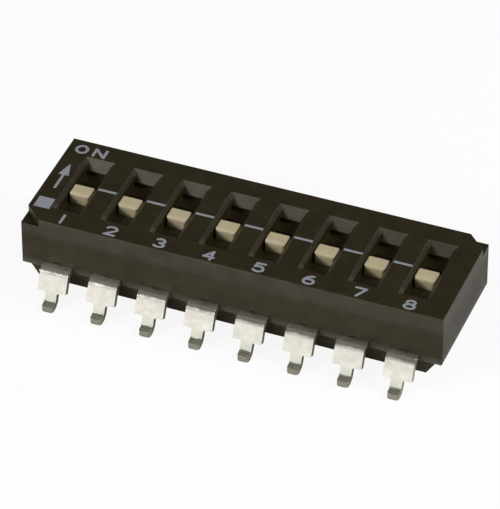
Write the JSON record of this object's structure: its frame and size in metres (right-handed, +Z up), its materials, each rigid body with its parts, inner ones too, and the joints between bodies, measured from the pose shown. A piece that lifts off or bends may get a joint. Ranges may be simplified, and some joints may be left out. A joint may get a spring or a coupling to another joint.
{
  "type": "surface-mount slide dip switch",
  "caption": "Surface-mount slide DIP switch: a moulded housing with a row of small sliders in ramped slots, and bent gull-wing terminals along both long sides.",
  "frame": {"origin": "centre of the seating plane: midway between the two rows of terminals and between the housing's ends, at the level of the soles of the feet", "axes": "+X along the row from switch 1 to switch 8, +Y from the OFF side to the ON side, +Z up from the board through the slots"},
  "size_m": [0.0216, 0.0096, 0.0043],
  "materials": {
    "cover": "matt moulded black-brown thermoplastic, finely mottled",
    "base": "matt moulded black thermoplastic",
    "slider": "satin moulded ivory thermoplastic",
    "contact": "gold-plated copper alloy strip",
    "terminal": "matt tin-plated copper alloy sheet"
  },
  "bodies": {
    "housing": {"cover": "cover", "base": "base", "terminal_1": "terminal", "terminal_2": "terminal", "terminal_3": "terminal", "terminal_4": "terminal", "terminal_5": "terminal", "terminal_6": "terminal", "terminal_7": "terminal", "terminal_8": "terminal", "terminal_9": "terminal", "terminal_10": "terminal", "terminal_11": "terminal", "terminal_12": "terminal", "terminal_13": "terminal", "terminal_14": "terminal", "terminal_15": "terminal", "terminal_16": "terminal"},
    "switch_1": {"slider_1": "slider", "contact_1": "contact"},
    "switch_2": {"slider_2": "slider", "contact_2": "contact"},
    "switch_3": {"slider_3": "slider", "contact_3": "contact"},
    "switch_4": {"slider_4": "slider", "contact_4": "contact"},
    "switch_5": {"slider_5": "slider", "contact_5": "contact"},
    "switch_6": {"slider_6": "slider", "contact_6": "contact"},
    "switch_7": {"slider_7": "slider", "contact_7": "contact"},
    "switch_8": {"slider_8": "slider", "contact_8": "contact"}
  },
  "joints": [
    {"name": "slide_1", "type": "slide", "parent": "housing", "child": "switch_1", "axis": [0, 1, 0], "range_m": [0, 0.00072]},
    {"name": "slide_2", "type": "slide", "parent": "housing", "child": "switch_2", "axis": [0, 1, 0], "range_m": [0, 0.00072]},
    {"name": "slide_3", "type": "slide", "parent": "housing", "child": "switch_3", "axis": [0, 1, 0], "range_m": [0, 0.00072]},
    {"name": "slide_4", "type": "slide", "parent": "housing", "child": "switch_4", "axis": [0, 1, 0], "range_m": [0, 0.00072]},
    {"name": "slide_5", "type": "slide", "parent": "housing", "child": "switch_5", "axis": [0, 1, 0], "range_m": [0, 0.00072]},
    {"name": "slide_6", "type": "slide", "parent": "housing", "child": "switch_6", "axis": [0, 1, 0], "range_m": [0, 0.00072]},
    {"name": "slide_7", "type": "slide", "parent": "housing", "child": "switch_7", "axis": [0, 1, 0], "range_m": [0, 0.00072]},
    {"name": "slide_8", "type": "slide", "parent": "housing", "child": "switch_8", "axis": [0, 1, 0], "range_m": [0, 0.00072]}
  ]
}
